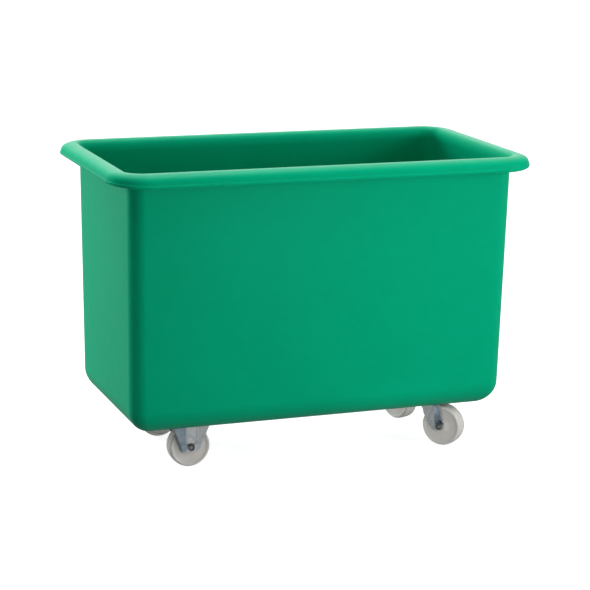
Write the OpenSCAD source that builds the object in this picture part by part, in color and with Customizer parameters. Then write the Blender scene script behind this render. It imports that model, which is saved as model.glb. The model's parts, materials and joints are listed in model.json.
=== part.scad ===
// Wheeled container truck: one-piece moulded tub with a rolled rim on
// two fixed and two swivel castors.
// Frame: X along the length (swivel castors at +X), Y across, Z up.
// Origin on the floor under the middle of the tub. Millimetres.

/* [Tub] */
// Overall length over the rolled rim
rim_length = 1050; // [1000:10:1150]
// Overall width over the rolled rim
rim_width = 576; // [560:2:640]
// Height of the tub from its base to the rim crest
tub_height = 622; // [500:2:700]
// Length of the tub body at its base
base_length = 936; // [920:2:940]
// Width of the tub body at its base
base_width = 456; // [450:2:466]
// Skin thickness
skin = 5.5; // [4:0.5:6]
// Radius of the upright corners
corner_r = 35; // [30:1:45]
// Radius where the walls turn into the base
base_fillet = 61; // [50:1:61]

/* [Rim] */
// Drop from the rim crest to the bottom of the lip
lip_drop = 31.5; // [28:0.5:36]
// Distance from the outer lip in to the crest
crest_in = 33; // [30:1:36]
// Corner radius of the rim in plan
rim_corner_r = 89; // [80:1:100]
// Radius of the roll from crest to inner wall
roll_r = 21.5; // [19:0.5:24]
// Height of the upright edge of the lip
lip_edge = 8; // [6:0.5:10]
// Share of the lip's drop that is missing over the two ends
end_lift = 0.17; // [0:0.01:0.25]

/* [Castors] */
// Height of the tub base above the floor
clearance = 108; // [108:1:120]
// Wheel diameter
wheel_d = 100; // [96:1:100]
// Wheel width
wheel_w = 36; // [32:1:36]
// Distance of each castor from the centre line
track_half = 126; // [120:1:126]
// Distance of the fixed axles behind the middle
fixed_x = 303; // [290:1:320]
// Distance of the swivel axes ahead of the middle
swivel_x = 323; // [300:1:325]
// Trail: swivel axis to wheel axle
trail = 41; // [38:0.5:42]
// Rest direction of the right swivel castor, degrees from +X
swivel_right_deg = -48.7; // [-180:0.1:180]
// Rest direction of the left swivel castor, degrees from +X
swivel_left_deg = -70.7; // [-180:0.1:180]

/* [Fasteners] */
// Castor plate length
plate_l = 105; // [100:1:105]
// Castor plate width
plate_w = 85; // [80:1:85]
// Bolt spacing along the plate
bolt_dx = 80; // [78:1:80]
// Bolt spacing across the plate
bolt_dy = 60; // [58:1:60]
// Castor bolt size
bolt_d = 8; // [8:0.5:8]
// Axle bolt size
axle_d = 10; // [10:0.5:10]

/* [Hidden] */
$fn = 64;

GREEN = [0.0, 0.56, 0.40];
ZINC = [0.72, 0.74, 0.75];
DARK = [0.35, 0.36, 0.37];
NYLON = [0.82, 0.81, 0.78];
STEEL = [0.55, 0.56, 0.58];

wheel_r = wheel_d / 2;
axle_z = wheel_r;
recess = 12;                     // depth of the castor seats in the base
seat_z = clearance + recess;     // underside of each castor seat
sheet = 2.5;                     // pressed sheet of the castors
leg_in = 20.5;                   // inner face of each fork leg
leg_out = leg_in + sheet;
wall_in = crest_in + roll_r - skin;   // lip edge to outer wall at the top
floor_t = 6;
seat_gap = 3;                    // gap round a castor plate in its seat
seat_wall = 6;
n_c = 7;                         // facets in a quarter corner

// ---------- tub ----------

// One level ring of the tub: a rounded rectangle of points
function ring(l, w, r, z) = [
    for (q = [0:3]) for (k = [0:n_c])
        let (a = 90 * q + 90 * k / n_c,
             sx = (q == 0 || q == 3) ? 1 : -1,
             sy = (q < 2) ? 1 : -1)
        [sx * (l / 2 - r) + r * cos(a), sy * (w / 2 - r) + r * sin(a), z]];

wall_top = tub_height - roll_r;   // where wall and roll meet
top_l = rim_length - 2 * wall_in;
top_w = rim_width - 2 * wall_in;

// Outer wall at height z: length, width
function wall_l(z) = base_length + (top_l - base_length) * z / wall_top;
function wall_w(z) = base_width + (top_w - base_width) * z / wall_top;

// Rim ring at inset s from the lip
function rim_r(s) = rim_corner_r - s * (rim_corner_r - corner_r) / wall_in;
// How far round from the sides towards the ends a point of the lip lies: 0 to 1
function end_share(p, s) =
    let (a = max(abs(p[0]) - (rim_length / 2 - rim_corner_r), 0),
         b = max(abs(p[1]) - (rim_width / 2 - rim_corner_r), 0),
         t = a + b > 0 ? atan2(a, b) / 90 : 0)
    t * t * (3 - 2 * t) * min(max((crest_in + 2 - s) / 8, 0), 1);
function rim_ring(s, z) = [
    for (p = ring(rim_length - 2 * s, rim_width - 2 * s, rim_r(s), z))
        [p[0], p[1], tub_height - (tub_height - p[2]) * (1 - end_lift * end_share(p, s))]];

// Ring on the fillet between wall and base, turned inside by t
function fillet_ring(a, t) =
    let (f = base_fillet - t,
         ins = t + f * (1 - cos(a)),
         z = base_fillet - f * sin(a))
    ring(wall_l(base_fillet) - 2 * ins, wall_w(base_fillet) - 2 * ins,
        max(corner_r - t - 0.6 * f * (1 - cos(a)), 6 - t / 2), t == 0 ? z : z + floor_t - skin);

p_e = 2.3;                        // fullness of the rim slope
lip_z = tub_height - lip_drop;
function slope(a, off) =
    let (u = 1 - pow(cos(a), 2 / p_e), v = pow(sin(a), 2 / p_e))
    [2 + off + (crest_in - 2 - off) * u, (lip_z + lip_edge) + (lip_drop - lip_edge - off) * v];

tub_rings = concat(
    [for (a = [90:-15:0]) fillet_ring(a, 0)],                       // base and fillet
    [for (f = [0.35, 0.7]) let (z = base_fillet + f * (wall_top - base_fillet)) ring(wall_l(z), wall_w(z), corner_r, z)],
    [for (a = [0:22.5:67.5]) let (f = roll_r - skin)
        rim_ring(crest_in + f * cos(a), wall_top + f * sin(a))],     // underside of the roll
    [for (a = [90:-18:18]) let (s = slope(a, skin)) rim_ring(s[0], s[1])],
    [rim_ring(2 + skin, lip_z + lip_edge), rim_ring(1 + skin, lip_z + 0.8), rim_ring(0.6 + skin, lip_z)],
    [rim_ring(3, lip_z), rim_ring(1, lip_z + 0.9), rim_ring(0, lip_z + 3.8), rim_ring(0, lip_z + lip_edge - 1.8), rim_ring(1.2, lip_z + lip_edge)],
    [for (a = [12:13:90]) let (s = slope(a, 0)) rim_ring(s[0], s[1])],
    [for (a = [90:-22.5:0]) rim_ring(crest_in + roll_r * cos(a), wall_top + roll_r * sin(a))],
    [let (z = wall_top * 0.5) ring(wall_l(z) - 2 * skin, wall_w(z) - 2 * skin, corner_r - skin, z)],
    [for (a = [0:15:90]) fillet_ring(a, skin)]);

module ring_solid(rings) {
    m = len(rings[0]);
    nr = len(rings);
    pts = [for (r = rings) for (p = r) p];
    sides = [for (i = [0:nr - 2]) for (j = [0:m - 1]) let (
        a = i * m + j, b = i * m + (j + 1) % m,
        d = (i + 1) * m + j, c = (i + 1) * m + (j + 1) % m)
        each [[a, d, c], [a, c, b]]];
    polyhedron(points = pts, faces = concat(
        [[for (j = [0:m - 1]) j]],
        sides,
        [[for (j = [m - 1:-1:0]) (nr - 1) * m + j]]), convexity = 10);
}

// Rounded rectangle plate, corner radius r
module slab(l, w, r, h) {
    linear_extrude(h) union() {
        square([l - 2 * r, w], center = true);
        square([l, w - 2 * r], center = true);
        for (sx = [-1, 1], sy = [-1, 1])
            translate([sx * (l / 2 - r), sy * (w / 2 - r)]) circle(r = r);
    }
}

// Runs its children at the four castor positions
module at_castors() {
    for (sy = [-1, 1]) {
        translate([-fixed_x, sy * track_half, 0]) children();
        translate([swivel_x, sy * track_half, 0]) children();
    }
}

module at_bolts() {
    for (sx = [-1, 1], sy = [-1, 1])
        translate([sx * bolt_dx / 2, sy * bolt_dy / 2, 0]) children();
}

module tub() {
    color(GREEN) translate([0, 0, clearance]) difference() {
        union() {
            ring_solid(tub_rings);
            at_castors() translate([0, 0, 2])
                slab(plate_l + 2 * (seat_gap + seat_wall), plate_w + 2 * (seat_gap + seat_wall), 16, recess + floor_t - 2);
        }
        at_castors() translate([0, 0, -5])
            slab(plate_l + 2 * seat_gap, plate_w + 2 * seat_gap, 10, recess + 5);
        at_castors() at_bolts() cylinder(d = bolt_d + 1, h = 60);
    }
}

// ---------- castor fixings ----------

pad_z = seat_z + floor_t;         // inside top of each castor seat

module castor_bolts() {
    color(STEEL) at_castors() at_bolts() {
        translate([0, 0, seat_z - sheet - 8]) cylinder(d = bolt_d, h = pad_z + 2 - seat_z + sheet + 8);
        translate([0, 0, pad_z + 2]) intersection() {
            cylinder(d = 13 / cos(30), h = 5.3, $fn = 6);
            rotate_extrude() polygon([[0, 0], [6.9, 0], [7.6, 0.7], [7.6, 4.5], [6.6, 5.3], [0, 5.3]]);
        }
    }
}

module floor_washers() {
    color(ZINC) at_castors() at_bolts() translate([0, 0, pad_z]) difference() {
        cylinder(d = 24, h = 2);
        translate([0, 0, -1]) cylinder(d = bolt_d + 0.6, h = 4);
    }
}

module castor_nuts() {
    color(STEEL) at_castors() at_bolts() translate([0, 0, seat_z - sheet - 6.5]) difference() {
        cylinder(d = 13 / cos(30), h = 6.5, $fn = 6);
        translate([0, 0, -1]) cylinder(d = bolt_d + 0.04, h = 9);
    }
}

// ---------- pieces shared by the castors, drawn about the wheel axle ----------
// The axle runs along Y through the origin.

module along_axle() { rotate([-90, 0, 0]) children(); }

module wheel() {
    h = wheel_w / 2;
    r = wheel_r;
    half = [[7.56, 0], [7.56, 20], [12, 20], [14, 19.2], [19.5, 16.6], [21.5, 14.8],
        [r - 12, 13.2], [r - 9.5, 14.6], [r - 8, h - 0.8], [r - 7, h], [r - 4.2, h],
        [r - 2.2, h - 0.9], [r - 1, h - 2.6], [r - 0.5, h - 6], [r - 0.12, h - 12], [r, 1.2], [r - 0.3, 0.4], [r - 0.3, 0]];
    pts = concat(half, [for (i = [len(half) - 2:-1:1]) [half[i][0], -half[i][1]]]);
    color(NYLON) along_axle() rotate_extrude($fn = 96) polygon(pts);
}

module axle_tube() {
    color(STEEL) along_axle() translate([0, 0, -leg_in]) difference() {
        cylinder(r = 7.5, h = 2 * leg_in);
        translate([0, 0, -1]) cylinder(r = axle_d / 2 + 0.05, h = 2 * leg_in + 2);
    }
}

module axle_bolt() {
    color(STEEL) rotate([90, 0, 0]) {
        translate([0, 0, -leg_out]) cylinder(d = axle_d, h = 2 * leg_out + 10);
        translate([0, 0, -leg_out - 6.4]) intersection() {
            cylinder(d = 17 / cos(30), h = 6.4, $fn = 6);
            rotate_extrude() polygon([[0, 0], [8.6, 0], [9.9, 1], [9.9, 5.6], [9, 6.4], [0, 6.4]]);
        }
    }
}

module axle_nut() {
    color(STEEL) rotate([90, 0, 0]) translate([0, 0, leg_out]) difference() {
        intersection() {
            cylinder(d = 17 / cos(30), h = 8.4, $fn = 6);
            rotate_extrude() polygon([[0, 0], [9.2, 0], [9.9, 0.7], [9.9, 7.4], [8.6, 8.4], [0, 8.4]]);
        }
        translate([0, 0, -1]) cylinder(d = axle_d + 0.04, h = 11);
    }
}

// ---------- fixed castors, drawn about the middle of the plate on the floor ----------

module castor_plate_blank(r = 8) {
    translate([0, 0, seat_z - sheet]) difference() {
        slab(plate_l, plate_w, r, sheet);
        at_bolts() translate([0, 0, -1]) cylinder(d = bolt_d + 1, h = sheet + 2);
    }
}

module fixed_plate() {
    color(ZINC) castor_plate_blank();
}

// Leg: wide at the plate, narrow at the axle
module fixed_leg() {
    zt = seat_z - sheet;
    rotate([90, 0, 0]) linear_extrude(sheet) difference() {
        polygon([[-51, zt], [-51, zt - 1], [-21.5, 42], [-19.5, 40], [19.5, 40], [21.5, 42], [51, zt - 1], [51, zt]]);
        translate([0, axle_z]) circle(r = axle_d / 2 + 0.2);
    }
}

module fixed_fork() {
    color(ZINC) {
        translate([0, -leg_in, 0]) fixed_leg();
        translate([0, leg_out, 0]) fixed_leg();
        translate([-51, -leg_in - 0.5, seat_z - 2 * sheet]) cube([102, 2 * leg_in + 1, sheet]);
        // turned-in stiffening edges of each leg
        for (sx = [-1, 1], sy = [-1, 1]) intersection() {
            translate([0, sy * (leg_out + 1), 0]) rotate([90, 0, 0]) translate([0, 0, -1.5]) linear_extrude(3)
                polygon([[sx * 51, seat_z - sheet], [sx * 47.6, seat_z - sheet], [sx * 17.5, 41.5], [sx * 21, 41.5]]);
            translate([-60, sy > 0 ? leg_out - 0.3 : -leg_out - 1.7, 0]) cube([120, 2, seat_z - sheet]);
        }
    }
}

// ---------- swivel castors ----------
// Drawn about the swivel axis on the floor, wheel trailing along +X.

race_r = 25;
race2_r = 14.5;
ball_r = 2.45;
dish_z = seat_z - 6;              // underside of the dished plate
crown_z = dish_z - 5;             // top of the fork crown
crown_b = crown_z - sheet;
cup_z = crown_b - 5 - 2;          // underside of the lower cup

module top_plate() {
    color(ZINC) {
        difference() {
            castor_plate_blank();
            translate([0, 0, seat_z - sheet - 1]) cylinder(r = 34.3, h = sheet + 2);
        }
        rotate_extrude() polygon([[6.02, dish_z], [31, dish_z], [34.6, seat_z - sheet], [34.6, seat_z],
            [34, seat_z], [30, dish_z + sheet], [6.02, dish_z + sheet]]);
    }
}

module kingpin() {
    color(STEEL) rotate_extrude() polygon([[0, cup_z - 4], [6, cup_z - 4], [8, cup_z - 2.5], [8, cup_z], [6, cup_z],
        [6, dish_z + sheet], [10, dish_z + sheet], [9, dish_z + sheet + 2.2], [5, dish_z + sheet + 3], [0, dish_z + sheet + 3]]);
}

module ball_ring(pr, n, z) {
    color(STEEL) for (i = [0:n - 1]) rotate([0, 0, 360 * i / n]) translate([pr, 0, z]) sphere(r = ball_r);
}

module bearing_cup() {
    color(DARK) rotate_extrude() polygon([[6.02, cup_z], [17, cup_z], [19.5, cup_z + 2.5], [19.5, cup_z + 5.5],
        [17.5, cup_z + 5.5], [17.5, cup_z + 2], [6.02, cup_z + 2]]);
}

// Raked leg with a rounded boss round the axle
module swivel_leg() {
    rotate([90, 0, 0]) linear_extrude(sheet) difference() {
        union() {
            polygon([[-20, crown_b + 1], [-13.5, 97], [-2, 75], [21.5, 42], [24.5, 39.6], [28.5, 38.4], [36, 39.6],
                [trail, 40], [trail + 9.5, 46], [trail + 9.9, 52], [48.6, 63], [37, crown_b + 1]]);
            translate([trail, axle_z]) circle(r = 10);
        }
        translate([trail, axle_z]) circle(r = axle_d / 2 + 0.2);
    }
}

module swivel_fork() {
    color(ZINC) {
        translate([0, -leg_in, 0]) swivel_leg();
        translate([0, leg_out, 0]) swivel_leg();
        difference() {
            union() {
                translate([0, 0, crown_b]) cylinder(r = 31, h = sheet);
                translate([-20, -leg_out, crown_b]) cube([57, 2 * leg_out, sheet]);
                translate([0, 0, crown_z - 0.5]) difference() {
                    cylinder(r = 31, h = 4.8);
                    translate([0, 0, -1]) cylinder(r = 28.8, h = 7);
                }
            }
            translate([0, 0, crown_b - 1]) cylinder(r = 6.08, h = 12);
        }
        // turned-out stiffening edges of each leg
        for (sy = [-1, 1]) translate([0, sy > 0 ? leg_out - 0.3 : -leg_out - 1.7, 0]) intersection() {
            rotate([90, 0, 0]) translate([0, 0, -3]) linear_extrude(4)
                polygon([[37, crown_b + 1], [34.5, crown_b + 1], [46, 63], [48.6, 63]]);
            translate([-60, 0, 0]) cube([140, 2, seat_z]);
        }
    }
}

module place_fixed(sy) { translate([-fixed_x, sy * track_half, 0]) children(); }
module place_axle(sy) { translate([-fixed_x, sy * track_half, axle_z]) rotate([0, 0, sy > 0 ? 180 : 0]) children(); }
module place_plate(sy) { translate([swivel_x, sy * track_half, 0]) children(); }
module place_swivel(sy) { translate([swivel_x, sy * track_half, 0]) rotate([0, 0, sy > 0 ? swivel_left_deg : swivel_right_deg]) children(); }
module place_swivel_axle(sy) { place_swivel(sy) translate([trail, 0, axle_z]) children(); }

tub();
castor_bolts();
floor_washers();
castor_nuts();

place_fixed(-1) fixed_plate();  // fixed_plate_right
place_fixed(-1) fixed_fork();  // fixed_fork_right
place_axle(-1) axle_tube();  // fixed_axle_tube_right
place_axle(-1) axle_bolt();  // fixed_axle_bolt_right
place_axle(-1) axle_nut();  // fixed_axle_nut_right
place_axle(-1) wheel();  // fixed_wheel_right

place_fixed(1) fixed_plate();  // fixed_plate_left
place_fixed(1) fixed_fork();  // fixed_fork_left
place_axle(1) axle_tube();  // fixed_axle_tube_left
place_axle(1) axle_bolt();  // fixed_axle_bolt_left
place_axle(1) axle_nut();  // fixed_axle_nut_left
place_axle(1) wheel();  // fixed_wheel_left

place_plate(-1) top_plate();  // top_plate_right
place_plate(-1) kingpin();  // kingpin_right
place_plate(-1) ball_ring(race_r, 28, dish_z - 2.5);  // upper_balls_right
place_plate(-1) ball_ring(race2_r, 16, crown_b - 2.5);  // lower_balls_right
place_plate(-1) bearing_cup();  // bearing_cup_right
place_swivel(-1) swivel_fork();  // swivel_fork_right
place_swivel_axle(-1) axle_tube();  // swivel_axle_tube_right
place_swivel_axle(-1) axle_bolt();  // swivel_axle_bolt_right
place_swivel_axle(-1) axle_nut();  // swivel_axle_nut_right
place_swivel_axle(-1) wheel();  // swivel_wheel_right

place_plate(1) top_plate();  // top_plate_left
place_plate(1) kingpin();  // kingpin_left
place_plate(1) ball_ring(race_r, 28, dish_z - 2.5);  // upper_balls_left
place_plate(1) ball_ring(race2_r, 16, crown_b - 2.5);  // lower_balls_left
place_plate(1) bearing_cup();  // bearing_cup_left
place_swivel(1) swivel_fork();  // swivel_fork_left
place_swivel_axle(1) axle_tube();  // swivel_axle_tube_left
place_swivel_axle(1) axle_bolt();  // swivel_axle_bolt_left
place_swivel_axle(1) axle_nut();  // swivel_axle_nut_left
place_swivel_axle(1) wheel();  // swivel_wheel_left
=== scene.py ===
"""Looks of the wheeled container truck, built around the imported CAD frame.
All lengths in the mesh code are millimetres in the row frame and are written to the meshes in metres."""

import json
import math

import bmesh
import bpy
import numpy as np
from mathutils import Matrix, Vector

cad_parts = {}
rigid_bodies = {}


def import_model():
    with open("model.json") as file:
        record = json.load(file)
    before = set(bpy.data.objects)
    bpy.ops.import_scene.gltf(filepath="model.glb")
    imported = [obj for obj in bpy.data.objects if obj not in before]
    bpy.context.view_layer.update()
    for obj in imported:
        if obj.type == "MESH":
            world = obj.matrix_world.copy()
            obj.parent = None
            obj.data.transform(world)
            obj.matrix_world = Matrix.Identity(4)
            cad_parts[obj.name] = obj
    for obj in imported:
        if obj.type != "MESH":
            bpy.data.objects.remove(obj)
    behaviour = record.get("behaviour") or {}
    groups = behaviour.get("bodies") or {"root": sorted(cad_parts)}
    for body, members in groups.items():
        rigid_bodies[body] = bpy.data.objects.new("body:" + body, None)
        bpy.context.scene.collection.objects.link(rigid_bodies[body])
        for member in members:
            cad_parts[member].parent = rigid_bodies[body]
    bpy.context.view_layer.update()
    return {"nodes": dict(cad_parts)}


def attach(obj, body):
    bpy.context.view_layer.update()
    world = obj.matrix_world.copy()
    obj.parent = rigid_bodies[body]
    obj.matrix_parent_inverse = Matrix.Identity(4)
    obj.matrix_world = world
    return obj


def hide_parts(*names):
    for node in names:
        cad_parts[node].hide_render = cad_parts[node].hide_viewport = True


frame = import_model()
scene = bpy.context.scene
MM = 0.001
PI = math.pi

# ------------------------------------------------------------------ camera

yaw, pitch, roll = math.radians(20.6813), math.radians(12.6793), math.radians(0.9732)
dist, target_z = 4.9211, 0.419
f_px, cx, cy = 2011.375, 290.8336, 273.4139
back = Vector((-math.sin(yaw) * math.cos(pitch), -math.cos(yaw) * math.cos(pitch), math.sin(pitch)))
right = Vector((math.cos(yaw), -math.sin(yaw), 0.0))
up = back.cross(right)
r2 = right * math.cos(roll) + up * math.sin(roll)
u2 = -right * math.sin(roll) + up * math.cos(roll)
cam_data = bpy.data.cameras.new("camera")
cam = bpy.data.objects.new("camera", cam_data)
scene.collection.objects.link(cam)
pos = Vector((0, 0, target_z)) + back * dist
cam.matrix_world = Matrix(((r2.x, u2.x, back.x, pos.x), (r2.y, u2.y, back.y, pos.y), (r2.z, u2.z, back.z, pos.z), (0, 0, 0, 1)))
cam_data.sensor_width = 36
cam_data.lens = f_px / 590 * 36
cam_data.shift_x = (295 - (cx + 0.5)) / 590
cam_data.shift_y = ((cy + 0.5) - 295) / 590
cam_data.clip_start, cam_data.clip_end = 0.05, 100
scene.camera = cam

# ------------------------------------------------------------------ materials


class Mat:
    """A material with one Principled shader, and short calls for the nodes in front of it."""

    def __init__(self, name):
        self.m = bpy.data.materials.new(name)
        self.m.use_nodes = True
        self.t = self.m.node_tree
        self.t.nodes.clear()
        self.out = self.add("ShaderNodeOutputMaterial")
        self.p = self.add("ShaderNodeBsdfPrincipled")
        self.t.links.new(self.p.outputs[0], self.out.inputs[0])
        self.coord = self.add("ShaderNodeTexCoord").outputs["Object"]

    def add(self, kind, **props):
        n = self.t.nodes.new(kind)
        for k, v in props.items():
            setattr(n, k, v)
        return n

    def link(self, a, b):
        self.t.links.new(a, b)

    def scaled(self, x, y, z):
        n = self.add("ShaderNodeMapping")
        n.inputs["Scale"].default_value = (x, y, z)
        self.link(self.coord, n.inputs["Vector"])
        return n.outputs[0]

    def noise(self, scale, detail=3.0, rough=0.55, vector=None, distortion=0.0):
        n = self.add("ShaderNodeTexNoise")
        n.inputs["Scale"].default_value = scale
        n.inputs["Detail"].default_value = detail
        n.inputs["Roughness"].default_value = rough
        n.inputs["Distortion"].default_value = distortion
        self.link(vector or self.coord, n.inputs["Vector"])
        return n.outputs["Fac"]

    def ramp(self, value, stops):
        n = self.add("ShaderNodeValToRGB")
        e = n.color_ramp.elements
        while len(e) < len(stops):
            e.new(0.5)
        for i, (at, col) in enumerate(stops):
            e[i].position = at
            e[i].color = (*col, 1) if len(col) == 3 else col
        self.link(value, n.inputs[0])
        return n.outputs[0]

    def span(self, value, lo, hi, a=0.0, b=1.0):
        n = self.add("ShaderNodeMapRange")
        for k, v in (("From Min", lo), ("From Max", hi), ("To Min", a), ("To Max", b)):
            n.inputs[k].default_value = v
        self.link(value, n.inputs["Value"])
        return n.outputs[0]

    def mix(self, fac, a, b, kind="MIX"):
        n = self.add("ShaderNodeMix", data_type="RGBA", blend_type=kind)
        for v, s in ((fac, n.inputs[0]), (a, n.inputs[6]), (b, n.inputs[7])):
            if isinstance(v, (int, float)):
                s.default_value = v
            elif isinstance(v, tuple):
                s.default_value = (*v, 1)
            else:
                self.link(v, s)
        return n.outputs[2]

    def math(self, op, a, b=0.0):
        n = self.add("ShaderNodeMath", operation=op)
        for v, s in ((a, n.inputs[0]), (b, n.inputs[1])):
            if isinstance(v, (int, float)):
                s.default_value = v
            else:
                self.link(v, s)
        return n.outputs[0]

    def axis(self, k):
        n = self.add("ShaderNodeSeparateXYZ")
        self.link(self.coord, n.inputs[0])
        return n.outputs[k]

    def bump(self, height, distance, strength=1.0, under=None):
        n = self.add("ShaderNodeBump")
        n.inputs["Strength"].default_value = strength
        n.inputs["Distance"].default_value = distance
        self.link(height, n.inputs["Height"])
        if under:
            self.link(under, n.inputs["Normal"])
        return n.outputs[0]

    def set(self, **values):
        for k, v in values.items():
            s = self.p.inputs[k.replace("_", " ")]
            if isinstance(v, (int, float)):
                s.default_value = v
            elif isinstance(v, tuple):
                s.default_value = (*v, 1) if len(v) == 3 and s.type == "RGBA" else v
            else:
                self.link(v, s)
        return self


def tub_plastic():
    """Rotationally moulded polyethylene: satin, faintly mottled, with an orange-peel skin and light handling marks."""
    m = Mat("tub_plastic")
    cloud = m.noise(3.2, 4.0, 0.6)
    fleck = m.noise(42.0, 4.0, 0.65)
    tone = m.math("ADD", m.math("MULTIPLY", cloud, 0.62), m.math("MULTIPLY", fleck, 0.38))
    colour = m.ramp(tone, [(0.30, (0.0, 0.285, 0.140)), (0.50, (0.0, 0.300, 0.150)), (0.70, (0.0, 0.315, 0.160))])
    # rub marks: short, pale and nearly level, mostly high on the walls and along the lip
    rub = m.noise(1.0, 3.0, 0.7, m.scaled(16, 16, 130), 0.6)
    where = m.noise(5.0, 2.0, 0.5)
    rubbed = m.math("MULTIPLY", m.span(rub, 0.66, 0.80), m.span(where, 0.52, 0.68))
    rubbed = m.math("MULTIPLY", rubbed, m.span(m.axis(2), 0.20, 0.66, 0.15, 0.55))
    colour = m.mix(m.math("MULTIPLY", rubbed, 0.30), colour, (0.12, 0.50, 0.33))
    rough = m.math("ADD", m.span(fleck, 0.3, 0.7, 0.36, 0.44), m.math("MULTIPLY", rubbed, 0.12))
    peel = m.noise(240.0, 2.0, 0.5)
    broad = m.noise(26.0, 2.0, 0.5)
    n = m.bump(peel, 0.00012, 0.55)
    n = m.bump(broad, 0.0006, 0.35, n)
    m.set(Base_Color=colour, Roughness=rough, Normal=n)
    m.set(Specular_IOR_Level=0.12, Specular_Tint=(0.15, 0.70, 0.60), IOR=1.5)
    return m.m


def nylon():
    """Natural white cast nylon, slightly translucent, with a dusty tread."""
    m = Mat("wheel_nylon")
    cloud = m.noise(38.0, 4.0, 0.6)
    grit = m.noise(420.0, 3.0, 0.6)
    colour = m.ramp(cloud, [(0.3, (0.525, 0.505, 0.475)), (0.7, (0.605, 0.59, 0.56))])
    speck = m.math("MULTIPLY", m.span(grit, 0.62, 0.75), m.span(cloud, 0.45, 0.7))
    colour = m.mix(m.math("MULTIPLY", speck, 0.35), colour, (0.38, 0.36, 0.32))
    rough = m.span(grit, 0.3, 0.7, 0.36, 0.50)
    n = m.bump(grit, 0.00006, 0.5)
    m.set(Base_Color=colour, Roughness=rough, Normal=n)
    m.set(Specular_IOR_Level=0.45, Subsurface_Weight=0.12, Subsurface_Scale=0.004, Subsurface_Radius=(1.0, 0.9, 0.7))
    return m.m


def zinc(name, low, high, rough_lo, rough_hi, tint=(0.42, 0.52, 0.60), scale=1.0, level=0.5):
    """Bright zinc plate with its uneven blue-green passivation, drawing marks and fine scratches."""
    m = Mat(name)
    cloud = m.noise(34.0 * scale, 4.0, 0.6)
    patch = m.noise(70.0 * scale, 3.0, 0.6, None, 0.8)
    colour = m.ramp(cloud, [(0.32, low), (0.68, high)])
    colour = m.mix(m.math("MULTIPLY", m.span(patch, 0.5, 0.72), level), colour, tint)
    fine = m.noise(1.0, 3.0, 0.7, m.scaled(900 * scale, 900 * scale, 120 * scale))
    grain = m.noise(520.0 * scale, 2.0, 0.6)
    rough = m.math("ADD", m.span(patch, 0.3, 0.7, rough_lo, rough_hi), m.span(fine, 0.45, 0.75, 0.0, 0.08))
    n = m.bump(grain, 0.00004, 0.25)
    n = m.bump(fine, 0.00004, 0.25, n)
    m.set(Base_Color=colour, Roughness=rough, Normal=n)
    m.set(Metallic=1.0)
    return m.m


M_TUB = tub_plastic()
M_NYLON = nylon()
M_ZINC = zinc("zinc_sheet", (0.62, 0.67, 0.69), (0.78, 0.81, 0.81), 0.20, 0.33)
# a darker, bluer copy of the zinc for the fork wings and swivel channels: painted dark reflection where those tilted
# faces turn away from the light
M_DARK_REFLECTION_WING = zinc("zinc_sheet_painted_dark_reflection", (0.28, 0.38, 0.46), (0.44, 0.54, 0.61), 0.20, 0.33)
# fastener zinc: the yellowish tint is the plating's own, the darker tone is painted shade taken from the shadowed axle
# nuts
M_BOLT = zinc("fastener_zinc", (0.36, 0.37, 0.38), (0.54, 0.55, 0.55), 0.28, 0.40, (0.44, 0.42, 0.36), 2.2, 0.25)
M_BALL = zinc("ball_steel", (0.58, 0.58, 0.57), (0.66, 0.66, 0.65), 0.10, 0.16, (0.5, 0.5, 0.5), 2.0, 0.1)
# a dark copy of the zinc for the bearing cups: painted shade of the swivel heads under the tub
M_SHADED_CUP = zinc("dark_sheet", (0.20, 0.21, 0.22), (0.30, 0.31, 0.32), 0.36, 0.50, (0.16, 0.19, 0.22), 1.2, 0.4)


def shade_ring_mat():
    """The ring of a locking nut, coloured near black: painted shade standing in for the shadowed hollow of the nut."""
    m = Mat("nut_ring_painted_shade")
    g = m.noise(600.0, 2.0, 0.5)
    m.set(Base_Color=m.ramp(g, [(0.3, (0.045, 0.050, 0.055)), (0.7, (0.075, 0.082, 0.09))]), Roughness=m.span(g, 0.3, 0.7, 0.4, 0.55))
    return m.m


M_SHADE_RING = shade_ring_mat()

# ------------------------------------------------------------------ mesh helpers


class Build:
    """Collects closed parts in millimetres, then makes one object of them."""

    def __init__(self):
        self.v, self.f, self.mi, self.n = [], [], [], 0

    def part(self, verts, faces, matrix=None, mat=0):
        verts = np.asarray(verts, float).reshape(-1, 3)
        if matrix is not None:
            m = np.array(matrix, float)
            verts = verts @ m[:3, :3].T + m[:3, 3]
        self.v.append(verts)
        self.f += [tuple(i + self.n for i in f) for f in faces]
        self.mi += mat if isinstance(mat, list) else [mat] * len(faces)
        self.n += len(verts)
        return self

    def make(self, name, mats, body, slot, nodes=(), sharp=32, bevel=0.0, segments=2, weighted=True, bevel_angle=32):
        me = bpy.data.meshes.new(name)
        me.from_pydata([tuple(p) for p in np.vstack(self.v) * MM], [], self.f)
        for mt in mats:
            me.materials.append(mt)
        me.polygons.foreach_set("material_index", self.mi)
        bm = bmesh.new()
        bm.from_mesh(me)
        bmesh.ops.remove_doubles(bm, verts=bm.verts, dist=1e-7)
        bmesh.ops.dissolve_degenerate(bm, dist=1e-7, edges=bm.edges)
        bmesh.ops.recalc_face_normals(bm, faces=bm.faces)
        bm.to_mesh(me)
        bm.free()
        me.polygons.foreach_set("use_smooth", [True] * len(me.polygons))
        ob = bpy.data.objects.new(name, me)
        scene.collection.objects.link(ob)
        if bevel:
            b = ob.modifiers.new("edges", "BEVEL")
            b.width, b.segments, b.limit_method = bevel * MM, segments, "ANGLE"
            b.angle_limit = math.radians(bevel_angle)
            b.use_clamp_overlap = True
            b.harden_normals = False
            settle(ob)
            ob.data.polygons.foreach_set("use_smooth", [True] * len(ob.data.polygons))
        ob.data.set_sharp_from_angle(angle=math.radians(sharp))
        if weighted:
            w = ob.modifiers.new("normals", "WEIGHTED_NORMAL")
            w.keep_sharp = True
            w.weight = 50
        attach(ob, body)
        if nodes:
            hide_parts(*nodes)
        return ob


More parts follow.
